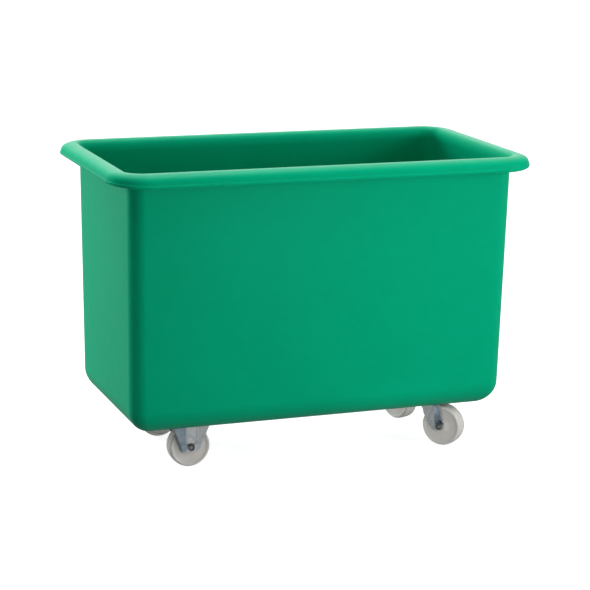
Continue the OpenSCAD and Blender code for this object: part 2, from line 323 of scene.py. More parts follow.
def settle(ob):
    """Applies an object's modifiers to its mesh."""
    dg = bpy.context.evaluated_depsgraph_get()
    me = bpy.data.meshes.new_from_object(ob.evaluated_get(dg), preserve_all_data_layers=True, depsgraph=dg)
    old = ob.data
    ob.modifiers.clear()
    ob.data = me
    me.name = old.name
    bpy.data.meshes.remove(old)
    return ob


def lathe(profile, n=96, closed=True):
    """Revolves (radius, height) points about +Z. closed: the profile is a loop off the axis; otherwise it starts and ends on the axis."""
    prof = [tuple(p) for p in profile]
    verts, rows, faces = [], [], []
    for r, z in prof:
        if r < 1e-9:
            rows.append([len(verts)])
            verts.append((0, 0, z))
        else:
            rows.append(list(range(len(verts), len(verts) + n)))
            verts += [(r * math.cos(2 * PI * k / n), r * math.sin(2 * PI * k / n), z) for k in range(n)]
    m = len(prof)
    for i in range(m if closed else m - 1):
        a, b = rows[i], rows[(i + 1) % m]
        for k in range(n):
            k2 = (k + 1) % n
            if len(a) == 1 and len(b) == 1:
                continue
            if len(a) == 1:
                faces.append((a[0], b[k], b[k2]))
            elif len(b) == 1:
                faces.append((a[k], b[0], a[k2]))
            else:
                faces.append((a[k], b[k], b[k2], a[k2]))
    return verts, faces


def round_profile(points, radii, steps=4):
    """A closed loop of points with each corner i rounded by radii[i]."""
    out = []
    n = len(points)
    for i in range(n):
        p, a, b = np.array(points[i], float), np.array(points[i - 1], float), np.array(points[(i + 1) % n], float)
        r = radii[i] if isinstance(radii, (list, tuple)) else radii
        if r <= 0:
            out.append(tuple(p))
            continue
        u, w = a - p, b - p
        lu, lw = np.linalg.norm(u), np.linalg.norm(w)
        u, w = u / lu, w / lw
        c = max(-1.0, min(1.0, float(u @ w)))
        half = math.acos(c) / 2
        if half > PI / 2 - 0.03:
            out.append(tuple(p))
            continue
        t = min(r / math.tan(half), lu * 0.48, lw * 0.48)
        rr = t * math.tan(half)
        centre = p + (u + w) / np.linalg.norm(u + w) * rr / math.sin(half)
        s, e = p + u * t, p + w * t
        a0 = math.atan2(*(s - centre)[::-1])
        a1 = math.atan2(*(e - centre)[::-1])
        d = (a1 - a0 + PI) % (2 * PI) - PI
        for k in range(steps + 1):
            g = a0 + d * k / steps
            out.append((centre[0] + rr * math.cos(g), centre[1] + rr * math.sin(g)))
    return out


def rect(l, w, r, z, nc=8, nl=0, nw=0):
    """A level rounded rectangle of points, counter-clockwise, with nl and nw points along the straight sides."""
    pts = []
    for q in range(4):
        sx = 1 if q in (0, 3) else -1
        sy = 1 if q < 2 else -1
        for k in range(nc + 1):
            a = PI / 2 * (q + k / nc)
            pts.append((sx * (l / 2 - r) + r * math.cos(a), sy * (w / 2 - r) + r * math.sin(a), z))
        m = nl if q in (0, 2) else nw
        if m:
            p = np.array(pts[-1])
            if q == 0:
                e = np.array((-(l / 2 - r), w / 2, z))
            elif q == 1:
                e = np.array((-l / 2, -(w / 2 - r), z))
            elif q == 2:
                e = np.array((l / 2 - r, -w / 2, z))
            else:
                e = np.array((l / 2, w / 2 - r, z))
            pts += [tuple(p + (e - p) * (k + 1) / (m + 1)) for k in range(m)]
    return pts


def stack(rings, cap_low=True, cap_high=True, closed=False):
    """Skins a list of rings with the same number of points."""
    n, m = len(rings[0]), len(rings)
    verts = [p for r in rings for p in r]
    faces = []
    for i in range(m if closed else m - 1):
        i2 = (i + 1) % m
        for j in range(n):
            j2 = (j + 1) % n
            faces.append((i * n + j, i * n + j2, i2 * n + j2, i2 * n + j))
    if not closed:
        if cap_low:
            faces.append(tuple(range(n - 1, -1, -1)))
        if cap_high:
            faces.append(tuple((m - 1) * n + j for j in range(n)))
    return verts, faces


def sheet_grid(top, under):
    """A closed pressed sheet from two matching grids of points: rows x columns."""
    top, under = np.asarray(top, float), np.asarray(under, float)
    r, c = top.shape[:2]
    verts = np.vstack([top.reshape(-1, 3), under.reshape(-1, 3)])
    o = r * c
    faces = []
    for i in range(r - 1):
        for j in range(c - 1):
            a, b, d, e = i * c + j, i * c + j + 1, (i + 1) * c + j + 1, (i + 1) * c + j
            faces.append((a, b, d, e))
            faces.append((o + e, o + d, o + b, o + a))
    for j in range(c - 1):
        for i, flip in ((0, False), (r - 1, True)):
            a, b = i * c + j, i * c + j + 1
            q = (a, o + a, o + b, b)
            faces.append(q[::-1] if flip else q)
    for i in range(r - 1):
        for j, flip in ((0, True), (c - 1, False)):
            a, b = i * c + j, (i + 1) * c + j
            q = (a, o + a, o + b, b)
            faces.append(q[::-1] if flip else q)
    return verts, faces


def hexagon(af, h, low_chamfer=True, high_chamfer=True, dome=0.0):
    """A hexagonal head or nut blank about +Z with the round chamfer that such heads have."""
    rc = af / 2 / math.cos(PI / 6)
    n = 48
    zs = []
    c = (rc - af / 2) * 0.95

    def radius(k, cut):
        a = 2 * PI * k / n
        flat = af / 2 / math.cos(((a + PI / 6) % (PI / 3)) - PI / 6)
        return min(flat, cut)

    rows = []
    steps = 5
    if low_chamfer:
        for i in range(steps + 1):
            t = i / steps
            rows.append((0.48 * c * t, af / 2 * 0.985 + (rc - af / 2 * 0.985) * t))
    else:
        rows.append((0.0, rc))
    if high_chamfer:
        for i in range(steps + 1):
            t = 1 - i / steps
            rows.append((h - 0.48 * c * t, af / 2 * 0.985 + (rc - af / 2 * 0.985) * t))
    else:
        rows.append((h, rc))
    rings = []
    for z, cut in rows:
        rings.append([(radius(k, cut) * math.cos(2 * PI * k / n), radius(k, cut) * math.sin(2 * PI * k / n), z) for k in range(n)])
    if dome:
        z0 = rows[-1][0]
        for f, dz in ((0.90, 0.25), (0.70, 0.6), (0.4, 0.9)):
            rings.append([(af / 2 * 0.985 * f * math.cos(2 * PI * k / n), af / 2 * 0.985 * f * math.sin(2 * PI * k / n), z0 + dome * dz) for k in range(n)])
    return rings


def move(x=0, y=0, z=0):
    return Matrix.Translation((x, y, z))


def turn(deg, axis):
    return Matrix.Rotation(math.radians(deg), 4, axis)


# ------------------------------------------------------------------ sizes of the frame, millimetres

RIM_L, RIM_W, TUB_H = 1050.0, 576.0, 622.0
BASE_L, BASE_W = 936.0, 456.0
SKIN, FLOOR_T = 5.5, 6.0
CORNER_R, FILLET = 35.0, 61.0
LIP_DROP, CREST_IN, RIM_R, ROLL_R, LIP_EDGE = 31.5, 33.0, 89.0, 21.5, 8.0
CLEAR = 108.0
RECESS = 12.0
FIXED_X, SWIVEL_X, TRACK = -303.0, 323.0, 126.0
TRAIL = 41.0
SWIVEL_DEG = {"right": -48.7, "left": -70.7}
SEAT_Z = CLEAR + RECESS
PAD_Z = SEAT_Z + FLOOR_T
WALL_IN = CREST_IN + ROLL_R - SKIN
WALL_TOP = TUB_H - ROLL_R
TOP_L, TOP_W = RIM_L - 2 * WALL_IN, RIM_W - 2 * WALL_IN
LIP_Z = TUB_H - LIP_DROP

# ------------------------------------------------------------------ tub

NC, NL, NW = 22, 36, 18


def wall_l(z):
    return BASE_L + (TOP_L - BASE_L) * z / WALL_TOP


def wall_w(z):
    return BASE_W + (TOP_W - BASE_W) * z / WALL_TOP


def rim_r(s):
    return RIM_R - s * (RIM_R - CORNER_R) / WALL_IN


def tub_ring(l, w, r, z):
    return rect(l, w, r, z + CLEAR, NC, NL, NW)


END_LIFT = 0.17


def rim_ring(s, z):
    """A ring of the rim. Over the two ends the outer lip hangs a little less than along the sides."""
    out = []
    for x, y, h in tub_ring(RIM_L - 2 * s, RIM_W - 2 * s, rim_r(s), z):
        a, b = max(abs(x) - (RIM_L / 2 - RIM_R), 0.0), max(abs(y) - (RIM_W / 2 - RIM_R), 0.0)
        t = min(max(math.atan2(a, b) / (PI / 2), 0.0), 1.0) if a + b > 0 else 0.0
        share = t * t * (3 - 2 * t) * min(max((CREST_IN + 2 - s) / 8, 0.0), 1.0)
        top = CLEAR + TUB_H
        out.append((x, y, top - (top - h) * (1 - END_LIFT * share)))
    return out


def fillet_ring(a, t):
    a = math.radians(a)
    f = FILLET - t
    ins = t + f * (1 - math.cos(a))
    z = FILLET - f * math.sin(a)
    r = max(CORNER_R - t - 0.6 * f * (1 - math.cos(a)), 6 - t / 2)
    return tub_ring(wall_l(FILLET) - 2 * ins, wall_w(FILLET) - 2 * ins, r, z if t == 0 else z + FLOOR_T - SKIN)


PE = 2.3


def slope(a, off):
    a = math.radians(a)
    u = 1 - max(math.cos(a), 0.0) ** (2 / PE)
    v = math.sin(a) ** (2 / PE)
    return (2 + off + (CREST_IN - 2 - off) * u, LIP_Z + LIP_EDGE + (LIP_DROP - LIP_EDGE - off) * v)


def slope_steps(off, n, rising=True):
    """Points evenly spaced along the slope of the rim."""
    fine = np.array([slope(a, off) for a in np.linspace(0, 90, 400)])
    d = np.concatenate([[0], np.cumsum(np.linalg.norm(np.diff(fine, axis=0), axis=1))])
    at = np.linspace(0, d[-1], n + 1)
    pts = np.stack([np.interp(at, d, fine[:, 0]), np.interp(at, d, fine[:, 1])], 1)
    return pts if rising else pts[::-1]


def tub_mesh():
    rings = [fillet_ring(a, 0) for a in np.linspace(90, 0, 19)]
    for f in np.linspace(0, 1, 15)[1:-1]:
        z = FILLET + f * (WALL_TOP - FILLET)
        rings.append(tub_ring(wall_l(z), wall_w(z), CORNER_R, z))
    f = ROLL_R - SKIN
    rings += [rim_ring(CREST_IN + f * math.cos(a), WALL_TOP + f * math.sin(a)) for a in np.linspace(0, PI / 2, 9)[:-1]]
    rings += [rim_ring(s, z) for s, z in slope_steps(SKIN, 12, False)]
    rings += [rim_ring(s, LIP_Z + z) for s, z in ((1.6 + SKIN, LIP_EDGE - 2), (1.1 + SKIN, 3.0), (0.8 + SKIN, 0.9), (0.1 + SKIN, 0.15), (-0.8 + SKIN, 0.0))]
    rings += [rim_ring(s, LIP_Z + z) for s, z in ((3.1, 0.0), (2.0, 0.25), (1.05, 0.9), (0.42, 2.0), (0.08, 3.4), (0.0, 4.8), (0.0, 6.0), (0.15, 7.0), (0.5, 7.6), (0.95, 8.0), (1.35, 8.6), (1.75, 9.5))]
    rings += [rim_ring(s, z) for s, z in slope_steps(0, 20)[2:]]
    # the inner roll runs a little further down the wall than across the crest, as a pulled moulding does
    low, m = 12.0, 2 / 2.4
    rings += [rim_ring(CREST_IN + (ROLL_R + 0.16) * max(math.cos(a), 0.0) ** m, WALL_TOP - low + (ROLL_R + low) * math.sin(a) ** m)
              for a in PI / 2 * (1 - np.linspace(0, 1, 23)[1:-1] ** 1.25)]
    rings.append(rim_ring(CREST_IN + ROLL_R + 0.16, WALL_TOP - low))
    for f in np.linspace(1, 0, 15)[1:-1]:
        z = FILLET + f * (WALL_TOP - FILLET)
        rings.append(tub_ring(wall_l(z) - 2 * SKIN, wall_w(z) - 2 * SKIN, CORNER_R - SKIN, z))
    rings += [fillet_ring(a, SKIN) for a in np.linspace(0, 90, 19)]
    return stack(rings)


def hidden(name, verts, faces):
    me = bpy.data.meshes.new(name)
    me.from_pydata([tuple(p) for p in np.asarray(verts, float) * MM], [], faces)
    bm = bmesh.new()
    bm.from_mesh(me)
    bmesh.ops.recalc_face_normals(bm, faces=bm.faces)
    bm.to_mesh(me)
    bm.free()
    ob = bpy.data.objects.new(name, me)
    scene.collection.objects.link(ob)
    return ob


def boolean(ob, tools, op):
    for t in tools:
        b = ob.modifiers.new("cut", "BOOLEAN")
        b.operation, b.object, b.solver = op, t, "EXACT"
    settle(ob)
    for t in tools:
        bpy.data.objects.remove(t)


def seat(x, y, flare):
    """The castor seat's recess in the base: flared mouth, upright sides, rounded top edge."""
    l, w = 111.0, 91.0
    rows = [(flare + 1.6, -4.0, 12.5)]
    for k in range(6):
        a = math.radians(14 + 76 * k / 5)
        rows.append((flare * (1 - math.sin(a)), flare * (1 - math.cos(a)) * 1.0 + 0.0, 10 + flare * (1 - math.sin(a))))
    rows.append((0, RECESS - 3.0, 10))
    for k in range(1, 5):
        a = PI / 2 * k / 4
        rows.append((-2.5 * (1 - math.cos(a)), RECESS - 2.5 + 2.5 * math.sin(a), 10 - 2.5 * (1 - math.cos(a))))
    rings = [[(px + x, py + y, pz) for px, py, pz in rect(l + 2 * o, w + 2 * o, r, CLEAR + z, 8)] for o, z, r in rows]
    return stack(rings)


def pad(x, y):
    """The raised pad that the recess makes inside the tub."""
    l, w = 123.0, 103.0
    rows = [(3.4, 1.0, 19), (3.4, FLOOR_T - 0.35, 19)]
    for k in range(6):
        a = math.radians(12 + 78 * k / 5)
        rows.append((3.2 * (1 - math.sin(a)), FLOOR_T + 3.2 * (1 - math.cos(a)), 16 + 3.2 * (1 - math.sin(a))))
    top = RECESS + FLOOR_T
    rows.append((0, top - 3.4, 16))
    for k in range(1, 6):
        a = PI / 2 * k / 5
        rows.append((-3.2 * (1 - math.cos(a)), top - 3.2 + 3.2 * math.sin(a), 16 - 3.2 * (1 - math.cos(a))))
    rings = [[(px + x, py + y, pz) for px, py, pz in rect(l + 2 * o, w + 2 * o, r, CLEAR + z, 8)] for o, z, r in rows]
    return stack(rings)


castor_at = [(FIXED_X, -TRACK), (FIXED_X, TRACK), (SWIVEL_X, -TRACK), (SWIVEL_X, TRACK)]
shell = Build().part(*tub_mesh())
tub = shell.make("tub_shell", [M_TUB], "truck", "tub_plastic", ("tub",), sharp=40, weighted=False)
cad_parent, tub.parent = tub.parent, None
boolean(tub, [hidden("pad", *pad(x, y)) for x, y in castor_at], "UNION")
boolean(tub, [hidden("seat", *seat(x, y, 3.0)) for x, y in castor_at], "DIFFERENCE")
tub.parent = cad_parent


def soften(ob):
    """Slow waves of a moulded wall, under half a millimetre, that die out towards the rim and the base."""
    co = np.zeros(len(ob.data.vertices) * 3, np.float32)
    ob.data.vertices.foreach_get("co", co)
    p = co.reshape(-1, 3).astype(float) / MM
    z = p[:, 2] - CLEAR
    fade = np.clip((z - 30) / 90, 0, 1) * np.clip((WALL_TOP + 8 - z) / 80, 0, 1)
    x, y = p[:, 0], p[:, 1]
    l, w = wall_l(z) / 2, wall_w(z) / 2
    on_y = np.clip((np.abs(y) - (w - 12)) / 6, 0, 1) * (np.abs(y) < w + 1.5) * (np.abs(x) < l - CORNER_R)
    on_x = np.clip((np.abs(x) - (l - 12)) / 6, 0, 1) * (np.abs(x) < l + 1.5) * (np.abs(y) < w - CORNER_R)
    ex = np.clip((l - CORNER_R - np.abs(x)) / 90, 0, 1)
    ey = np.clip((w - CORNER_R - np.abs(y)) / 70, 0, 1)
    wave_y = 0.55 * np.sin(x / 118 + 0.6) * np.sin(z / 143 + 0.4) + 0.3 * np.sin(x / 61 + z / 97 + 2.0)
    wave_x = 0.5 * np.sin(y / 83 + 1.1) * np.sin(z / 131 + 1.4)
    p[:, 1] += np.sign(y) * on_y * fade * ex * wave_y
    p[:, 0] += np.sign(x) * on_x * fade * ey * wave_x
    ob.data.vertices.foreach_set("co", (p * MM).astype(np.float32).ravel())
    ob.data.update()


soften(tub)
tub.data.polygons.foreach_set("use_smooth", [True] * len(tub.data.polygons))
tub.data.set_sharp_from_angle(angle=math.radians(38))
wn = tub.modifiers.new("normals", "WEIGHTED_NORMAL")
wn.keep_sharp = True

# ------------------------------------------------------------------ wheels, about the axle along +Z


def wheel_parts():
    half = [(7.9, 0.0), (7.9, 19.4), (8.5, 20.0), (11.4, 20.0), (12.6, 19.7), (14.0, 19.2), (17.0, 18.1), (19.2, 17.3), (20.6, 16.75), (22.0, 16.35), (24.0, 16.05),
            (27.0, 15.85), (31.0, 15.72), (36.0, 15.66), (38.4, 15.72), (39.8, 15.92), (41.0, 16.3), (42.0, 16.85), (42.9, 17.4), (43.6, 17.75), (44.3, 17.95),
            (45.4, 17.95), (46.7, 17.6), (47.9, 16.85), (48.75, 15.7), (49.25, 14.2), (49.6, 12.0), (49.82, 9.0), (49.94, 6.0), (50.0, 3.0), (50.0, 2.4), (49.8, 1.7), (49.3, 1.1), (49.1, 0.6), (49.1, 0.0)]
    loop = half + [(r, -z) for r, z in half[-2:0:-1]]
    return lathe(loop, 160)


TO_Y = turn(-90, "X")  # +Z turns to +Y


def axle_frame(kind, side):
    s = 1 if side == "left" else -1
    if kind == "fixed":
        return move(FIXED_X, s * TRACK, 50) @ (turn(180, "Z") if s > 0 else Matrix.Identity(4))
    return move(SWIVEL_X, s * TRACK, 0) @ turn(SWIVEL_DEG[side], "Z") @ move(TRAIL, 0, 50)


for kind in ("fixed", "swivel"):
    for side in ("right", "left"):
        Build().part(*wheel_parts(), axle_frame(kind, side) @ TO_Y).make(
            f"{kind}_wheel_{side}_nylon", [M_NYLON], f"{kind}_wheel_{side}", "wheel_nylon", (f"{kind}_wheel_{side}",), sharp=50, weighted=False)

# ------------------------------------------------------------------ fasteners


def capped(rings):
    return stack(rings)


def threaded(r, z0, z1, pitch, depth, chamfer=0.8):
    """A threaded shank about +Z as close grooves, with a chamfered end at z1."""
    prof = [(0, z0), (r - depth, z0)]
    z = z0
    while z + pitch < z1 - chamfer:
        prof += [(r - depth, z + pitch * 0.10), (r, z + pitch * 0.42), (r, z + pitch * 0.58), (r - depth, z + pitch * 0.98)]
        z += pitch
    prof += [(r - depth * 0.4, z + 0.1), (r - depth * 0.4, z1 - chamfer), (r - chamfer, z1), (0, z1)]
    return lathe(prof, 32, closed=False)


def axle_bolt(side_build, place):
    """M10 axle bolt along Y: head at +Y, thread out of the nut at -Y."""
    m = place @ turn(90, "X")
    side_build.part(*lathe([(0, -24), (4.95, -24), (4.95, 23.5), (0, 23.5)], 40, closed=False), m)
    side_build.part(*threaded(4.95, 23.0, 28.6, 1.5, 0.75, 1.1), m)
    rings = hexagon(17.0, 6.3, True, False)
    head = [[(x, y, -29.3 + (6.3 - z)) for x, y, z in r] for r in rings]
    side_build.part(*stack(head), m)
    side_build.part(*lathe([(0, -29.55), (6.6, -29.55), (7.2, -29.3), (7.2, -29.0), (0, -29.0)], 40, closed=False), m)


for kind in ("fixed", "swivel"):
    for side in ("right", "left"):
        place = axle_frame(kind, side)
        body = "truck" if kind == "fixed" else f"swivel_castor_{side}"
        b = Build()
        axle_bolt(b, place)
        b.make(f"{kind}_axle_bolt_{side}_m10", [M_BOLT], body, "fastener_zinc", (f"{kind}_axle_bolt_{side}",), sharp=30, bevel=0)
        n = Build()
        m = place @ turn(90, "X")
        ring = hexagon(17.0, 5.4, True, True)
        ring = [[(x, y, z + 23.0) for x, y, z in r] for r in ring]
        # the nut: hexagon with a bored middle, then its turned collar holding the locking ring
        outer = ring
        inner_r = 5.05
        k = len(ring[0])
        bore = lambda z: [(inner_r * math.cos(2 * PI * i / k), inner_r * math.sin(2 * PI * i / k), z) for i in range(k)]
        n.part(*stack(outer + [bore(28.4), bore(23.0)], closed=True), m)
        n.part(*lathe(round_profile([(6.5, 28.2), (8.1, 28.2), (7.7, 30.5), (6.5, 30.9)], [0, 0.2, 0.9, 0.3], 5), 48), m)
        # the locking ring takes the near-black material, painted shade of the nut's hollow
        n.part(*lathe(round_profile([(5.02, 28.5), (6.6, 28.5), (6.6, 30.2), (5.3, 30.2)], [0, 0, 0.1, 0.4], 3), 48), m, 1)
        n.make(f"{kind}_axle_nut_{side}_m10", [M_BOLT, M_SHADE_RING], body, "fastener_zinc", (f"{kind}_axle_nut_{side}",), sharp=30)

bolts, washers, nuts = Build(), Build(), Build()
rng = np.random.default_rng(7)
for x, y in castor_at:
    for sx in (-1, 1):
        for sy in (-1, 1):
            at = move(x + sx * 40, y + sy * 30, 0)
            spin = turn(float(rng.uniform(-25, 25)), "Z")
            head = [[(px, py, pz + PAD_Z + 2) for px, py, pz in r] for r in hexagon(13.0, 5.1, False, True)]
            bolts.part(*stack(head), at @ spin)
            bolts.part(*lathe([(0, PAD_Z + 6.9), (5.2, PAD_Z + 6.9), (5.5, PAD_Z + 7.12), (5.5, PAD_Z + 7.25), (5.1, PAD_Z + 7.3), (0, PAD_Z + 7.3)], 32, closed=False), at)
            bolts.part(*lathe([(0, SEAT_Z - 3), (3.95, SEAT_Z - 3), (3.95, PAD_Z + 2.2), (0, PAD_Z + 2.2)], 32, closed=False), at)
            end = threaded(3.95, 0, 8.3, 1.25, 0.6)
            bolts.part(*end, at @ move(0, 0, SEAT_Z - 2.4) @ turn(180, "X"))
            washers.part(*lathe(round_profile([(4.3, PAD_Z), (12, PAD_Z), (12, PAD_Z + 2), (4.3, PAD_Z + 2)], [0.1, 0.15, 0.5, 0.3], 3), 56), at)
            rings = [[(px, py, pz + SEAT_Z - 9.0) for px, py, pz in r] for r in hexagon(13.0, 6.5, True, True)]
            kk = len(rings[0])
            bore = lambda z: [(4.02 * math.cos(2 * PI * i / kk), 4.02 * math.sin(2 * PI * i / kk), z) for i in range(kk)]
            nuts.part(*stack(rings + [bore(SEAT_Z - 2.5), bore(SEAT_Z - 9.0)], closed=True), at)
bolts.make("castor_bolts_m8", [M_BOLT], "truck", "fastener_zinc", ("castor_bolts",), sharp=30)
washers.make("floor_washers_m8", [M_BOLT], "truck", "fastener_zinc", ("floor_washers",), sharp=40)
nuts.make("castor_nuts_m8", [M_BOLT], "truck", "fastener_zinc", ("castor_nuts",), sharp=30)

# ------------------------------------------------------------------ pressed castor forks

SHEET = 2.5
LEG_IN, LEG_OUT = 20.5, 23.0


def smooth(t):
    t = np.clip(t, 0, 1)
    return t * t * (3 - 2 * t)


def fork_grid(rows_leg, bend_r, crown_z, limits_leg, limits_crown, press, cols, crown_rows):
    """The middle surface's two faces of a U-shaped pressing, as two grids.
    rows_leg: heights from the foot up. limits_leg(z), limits_crown(y): left and right edges. press(u, z): how far the leg stands out."""
    top, under = [], []
    r_out = bend_r + SHEET

    def leg_row(z, sign):
        a, b = limits_leg(z)
        us = a + (b - a) * cols
        n = press(us, z)
        top.append([(u, sign * (LEG_OUT + d), z) for u, d in zip(us, n)])
        under.append([(u, sign * (LEG_IN + d), z) for u, d in zip(us, n)])

    def bend_row(t, sign):
        g = PI / 2 * t
        cz, cyy = crown_z - r_out, LEG_OUT - r_out
        a0, b0 = limits_leg(crown_z - r_out)
        a1, b1 = limits_crown(LEG_OUT - r_out)
        a, b = a0 + (a1 - a0) * t, b0 + (b1 - b0) * t
        us = a + (b - a) * cols
        n = press(us, crown_z - r_out) * (1 - t)
        top.append([(u, sign * (cyy + (r_out + d) * math.cos(g)), cz + r_out * math.sin(g)) for u, d in zip(us, n)])
        under.append([(u, sign * (cyy + (bend_r + d) * math.cos(g)), cz + bend_r * math.sin(g)) for u, d in zip(us, n)])

    for z in rows_leg:
        leg_row(z, -1)
    for t in np.linspace(0, 1, 7)[(0 if rows_leg[-1] < crown_z - r_out - 0.01 else 1):-1]:
        bend_row(t, -1)
    ye = LEG_OUT - r_out
    for y in np.linspace(-ye, ye, crown_rows):
        a, b = limits_crown(abs(y))
        us = a + (b - a) * cols
        top.append([(u, y, crown_z) for u in us])
        under.append([(u, y, crown_z - SHEET) for u in us])
    for t in np.linspace(0, 1, 7)[(0 if rows_leg[-1] < crown_z - r_out - 0.01 else 1):-1][::-1]:
        bend_row(t, 1)
    for z in rows_leg[::-1]:
        leg_row(z, 1)
    return np.array(top), np.array(under)


def fixed_limits(z):
    f = (z - 42.0) / (116.5 - 42.0)
    half = 21.5 + (51.0 - 21.5) * max(f, 0.0)
    d = z - 40.0
    if d < 4.0:
        half = half - 4.0 + math.sqrt(max(16.0 - (4.0 - d) ** 2, 0.0)) * 1.0
    return -half, half


def fixed_press(u, z):
    """The leg's pressed form: flat middle, wings that flare outwards, and a step above the axle."""
    a, b = fixed_limits(max(z, 44.0))
    lo = smooth((z - 56.0) / 3.4)
    hi = 1 - smooth((z - 100.0) / 8.0)
    lip = 2.4
    wing = 0.24 * np.clip(-11.5 - u, 0, -11.5 - a - lip) + 0.10 * np.clip(u - 16.0, 0, None)
    turned = -1.7 * smooth((a + lip - u) / lip)
    mid = 2.1 * smooth((u + 11.5) / 5.5) * (1 - smooth((u - 11.5) / 4.5) * 0.75)
    near = smooth((np.hypot(u, z - 50.0) - 9.6) / 2.0)
    return (wing + turned) * hi * (0.55 * near + (1 - 0.55 * near) * lo) + mid * lo * (1 - smooth((z - 103) / 6))


def swivel_limits(z):
    zs = np.array([38.4, 38.7, 39.2, 39.6, 42.0, 75.0, 97.0, 107.5])
    ls = np.array([28.0, 26.4, 25.2, 24.4, 21.6, -2.0, -13.5, -20.0])
    zr = np.array([38.4, 38.7, 39.2, 39.6, 40.0, 40.4, 41.0, 42.0, 43.5, 46.0, 50.0, 54.0, 63.0, 107.5])
    rs = np.array([29.0, 30.6, 33.0, 36.0, 41.0, 43.9, 45.6, 47.2, 48.7, 50.2, 51.0, 50.6, 48.6, 37.0])
    return float(np.interp(z, zs, ls)), float(np.interp(z, zr, rs))


def swivel_press(u, z):
    """Wide panel, a fold, the channel over the axle with its round boss, and a flared trailing edge."""
    a, b = swivel_limits(z)
    fold = 27.0 - 0.035 * max(z - 60.0, 0.0)
    foot = smooth((z - 38.4) / 7.0)
    panel = (0.7 + 2.9 * np.clip((u - a) / max(fold - a, 1e-6), 0, 1)) * foot
    high = 3.6 * foot
    run = max(b - 4.2 - fold, 1e-6)
    fall = high * (1 - np.clip((u - fold) / run, 0, 1)) - 1.6 * np.clip((u - fold) / run, 0, 1) * smooth((z - 58.0) / 8.0)
    body = np.where(u < fold, panel, fall)
    edge = 0.9 * np.clip((u - (b - 4.2)) / 4.2, 0, 1) * smooth((z - 58.0) / 8.0)
    wide = 6.5 * float(smooth((z - 76.0) / 22.0)) + 0.01
    lead = -4.6 * smooth((a + wide - u) / wide) * float(smooth((z - 78.0) / 8.0))
    away = np.hypot(u - TRAIL, z - 50.0)
    level = 1 - smooth((away - 9.4) / 2.2)
    return (body + edge + lead) * (1 - level) + 1.0 * level


def crown_fixed(y):
    return -51.0, 51.0


def crown_swivel(y):
    return -max(math.sqrt(max(31.0 ** 2 - y * y, 0.0)), 20.0), 37.0


def col_spacing(breaks, n):
    return np.array(sorted(set(np.round(np.concatenate([np.linspace(0, 1, n), breaks]), 4))))


fix_rows = np.concatenate([[40.0, 40.15, 40.5, 41.0, 41.8, 42.8, 44.0], np.arange(45.5, 109.0, 1.5)])
swv_rows = np.concatenate([[38.4, 38.55, 38.8, 39.2, 39.6, 40.0, 40.4, 41.0, 42.0, 43.2], np.arange(44.4, 97.0, 1.5)])

for side in ("right", "left"):
    s = 1 if side == "left" else -1
    g = fork_grid(fix_rows, 3.5, 117.4, fixed_limits, crown_fixed, fixed_press, np.linspace(0, 1, 61), 9)
    v, f = sheet_grid(*g)
    mid = [np.mean([v[i] for i in q], axis=0) for q in f]
    # the flared left wing of each fixed leg takes the darker zinc copy, a painted dark reflection
    Build().part(v, f, move(FIXED_X, s * TRACK, 0), [int(c[0] < -11.2 and c[2] < 110 and abs(c[1]) > 19) for c in mid]).make(
        f"fixed_fork_{side}_pressing", [M_ZINC, M_DARK_REFLECTION_WING], "truck", "zinc_sheet", (f"fixed_fork_{side}",), sharp=38, bevel=0.45, segments=2)
    g = fork_grid(swv_rows, 5.0, 109.0, swivel_limits, crown_swivel, swivel_press, np.linspace(0, 1, 57), 25)
    place = move(SWIVEL_X, s * TRACK, 0) @ turn(SWIVEL_DEG[side], "Z")
    b = Build()
    v, f = sheet_grid(*g)
    mid = [np.mean([v[i] for i in q], axis=0) for q in f]
    # the channel beside the axle takes the darker zinc copy, a painted dark reflection of its tilted faces
    b.part(v, f, place, [int(abs(c[1]) > 19 and 54 < c[2] < 104 and 27.6 < c[0] < swivel_limits(c[2])[1] - 3.6) for c in mid])
    fork = b.make(f"swivel_fork_{side}_pressing", [M_ZINC, M_DARK_REFLECTION_WING], f"swivel_castor_{side}", "zinc_sheet", (f"swivel_fork_{side}",), sharp=38, weighted=False)
    parent, fork.parent = fork.parent, None
    v, f = lathe([(0, 100), (6.3, 100), (6.3, 116), (0, 116)], 48, closed=False)
    v = np.array(v) + np.array((SWIVEL_X, s * TRACK, 0))
    boolean(fork, [hidden("pin_hole", v, f)], "DIFFERENCE")
    bv = fork.modifiers.new("edges", "BEVEL")
    bv.width, bv.segments, bv.limit_method, bv.angle_limit = 0.45 * MM, 2, "ANGLE", math.radians(40)
    settle(fork)
    fork.data.polygons.foreach_set("use_smooth", [True] * len(fork.data.polygons))
    fork.data.set_sharp_from_angle(angle=math.radians(38))
    w = fork.modifiers.new("normals", "WEIGHTED_NORMAL")
    w.keep_sharp = True
    fork.parent = parent
    # the upturned race on the crown
    race = round_profile([(28.8, 108.6), (31.2, 108.6), (31.2, 113.3), (28.8, 113.3)], [0, 0, 1.0, 0.6], 4)
    Build().part(*lathe(race, 96), move(SWIVEL_X, s * TRACK, 0)).make(
        f"swivel_race_{side}", [M_ZINC], f"swivel_castor_{side}", "zinc_sheet", (), sharp=40)

# ------------------------------------------------------------------ CAD nodes that stay, with their finishes

KEPT = {}
for side in ("right", "left"):
    for n in (f"fixed_plate_{side}", f"top_plate_{side}"):
        KEPT[n] = M_ZINC
    for n in (f"fixed_axle_tube_{side}", f"swivel_axle_tube_{side}", f"kingpin_{side}"):
        KEPT[n] = M_BOLT
    for n in (f"upper_balls_{side}", f"lower_balls_{side}"):
        KEPT[n] = M_BALL
    # the bearing cups take the dark zinc copy, painted shade
    KEPT[f"bearing_cup_{side}"] = M_SHADED_CUP
for n, mat in KEPT.items():
    ob = frame["nodes"][n]
    ob.data.materials.clear()
    ob.data.materials.append(mat)

# ------------------------------------------------------------------ floor, lights, world

